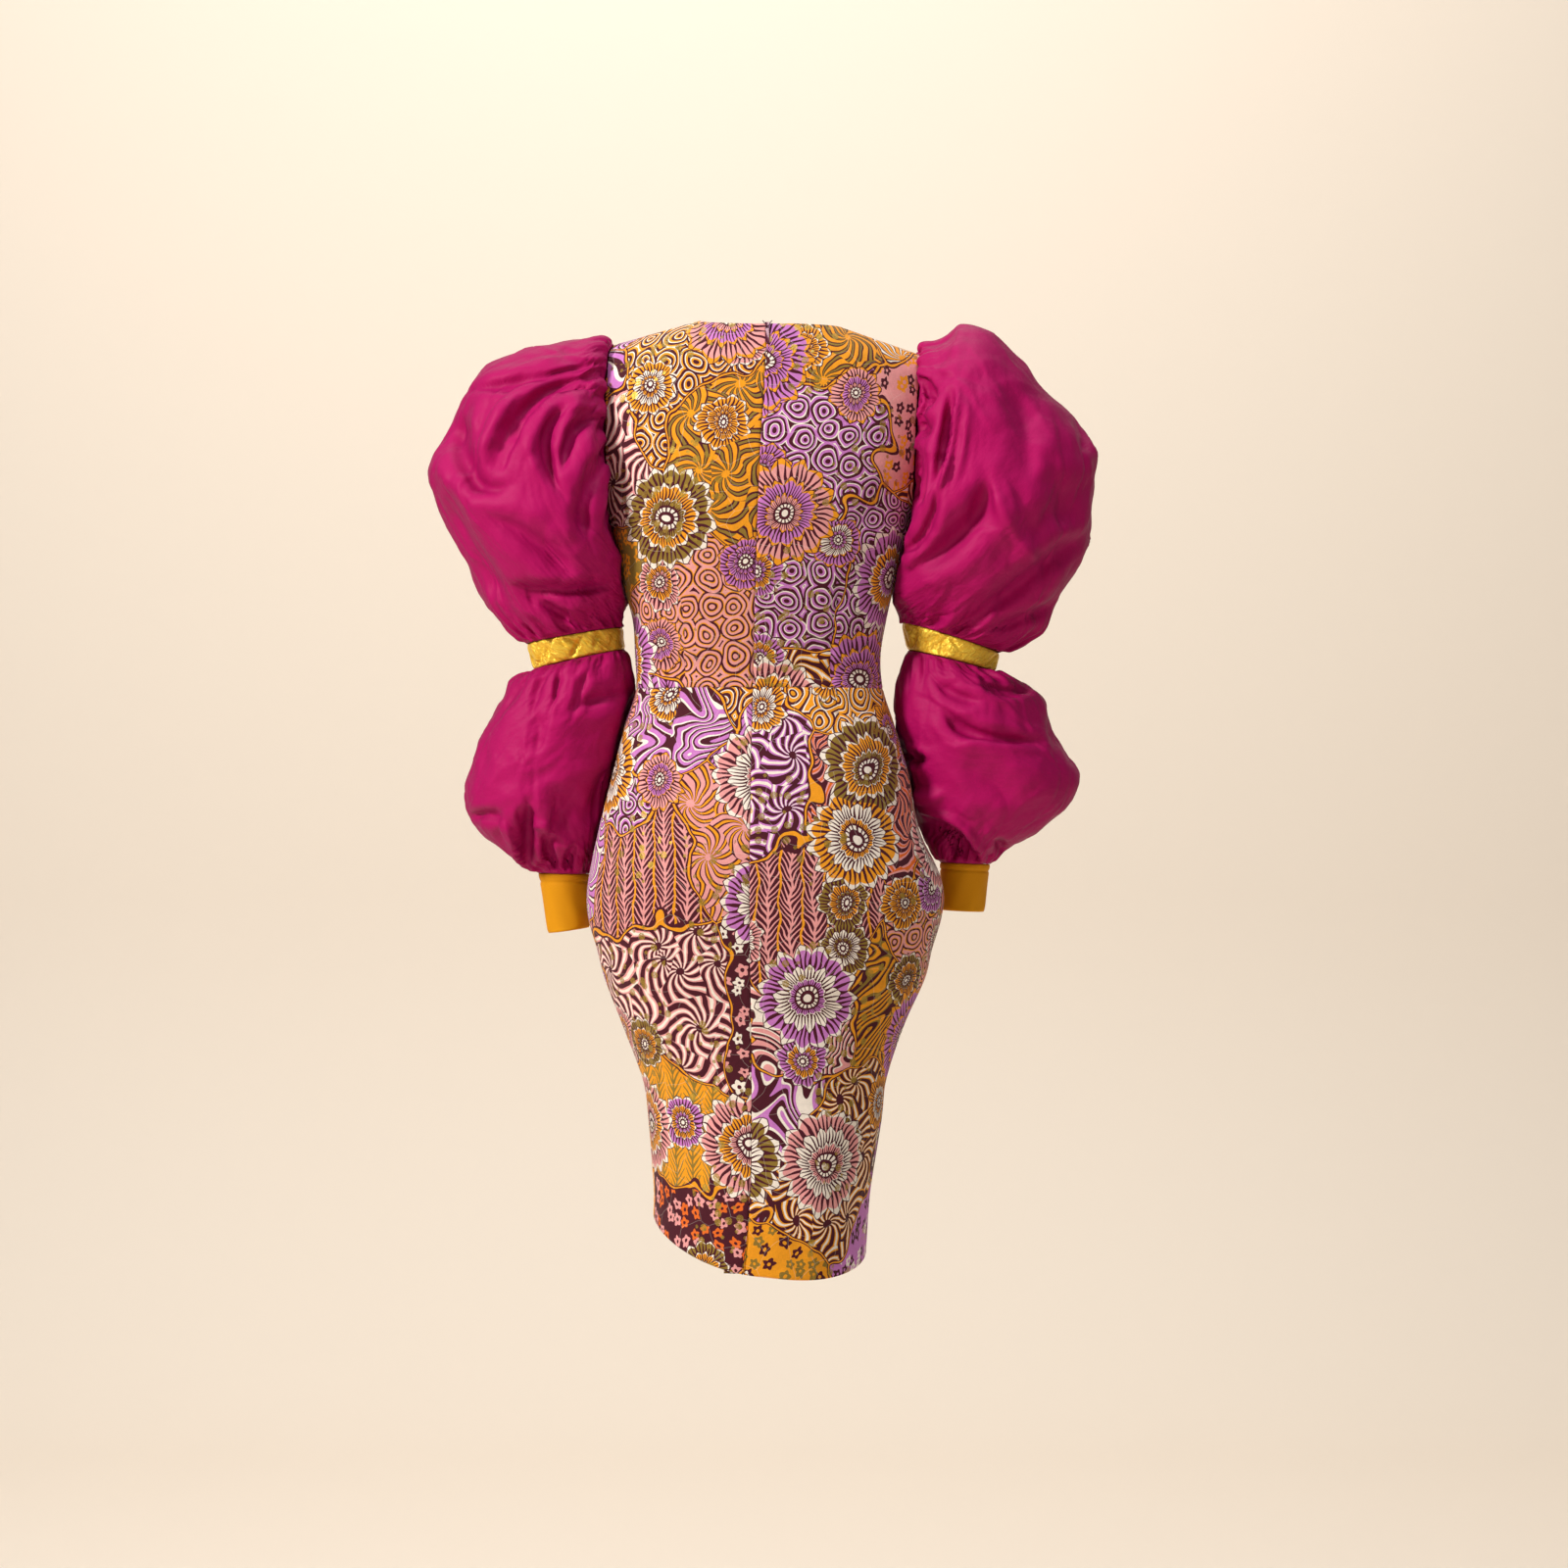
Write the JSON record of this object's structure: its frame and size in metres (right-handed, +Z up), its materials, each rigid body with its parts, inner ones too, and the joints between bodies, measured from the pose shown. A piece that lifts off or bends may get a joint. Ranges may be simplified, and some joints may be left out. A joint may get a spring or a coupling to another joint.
{
  "type": "puff sleeve dress",
  "caption": "Knee-length fitted dress in printed cotton, hollow as worn, with double puff sleeves gathered at armhole, elbow band and cuff, a centre back zip and a hem vent",
  "frame": {"origin": "between the two shoulder seams, level with them, where the wearer's shoulders hold the dress up", "axes": "+Z up along the dress, -Y the dress's front, +X its left side"},
  "size_m": [0.6797, 0.2591, 0.9623],
  "materials": {
    "printed_cotton": "plain-weave printed cotton in burgundy, amber, lilac and off-white, with small gold glitter dots",
    "magenta_taffeta": "crisp magenta cotton taffeta with a low sheen",
    "gold_lame": "metallic gold lame, crinkled",
    "amber_cotton": "plain amber cotton",
    "lacquered_zip_metal": "zip slider and pull lacquered wine red"
  },
  "bodies": {
    "dress": {"bodice_front": "printed_cotton", "bodice_back_left": "printed_cotton", "bodice_back_right": "printed_cotton", "skirt_front": "printed_cotton", "skirt_back_left": "printed_cotton", "skirt_back_right": "printed_cotton", "vent_underlap": "printed_cotton", "upper_puff_left": "magenta_taffeta", "upper_puff_right": "magenta_taffeta", "arm_band_left": "gold_lame", "arm_band_right": "gold_lame", "lower_puff_left": "magenta_taffeta", "lower_puff_right": "magenta_taffeta", "cuff_left": "amber_cotton", "cuff_right": "amber_cotton", "zip_slider": "lacquered_zip_metal"},
    "pull": {"zip_pull": "lacquered_zip_metal"}
  },
  "joints": [
    {"name": "zip_pull_hinge", "type": "hinge", "parent": "dress", "child": "pull", "pos_m": [-0.00626, 0.06624, 0.00522], "axis": [1, 0, 0], "range_deg": [0, 150]}
  ]
}
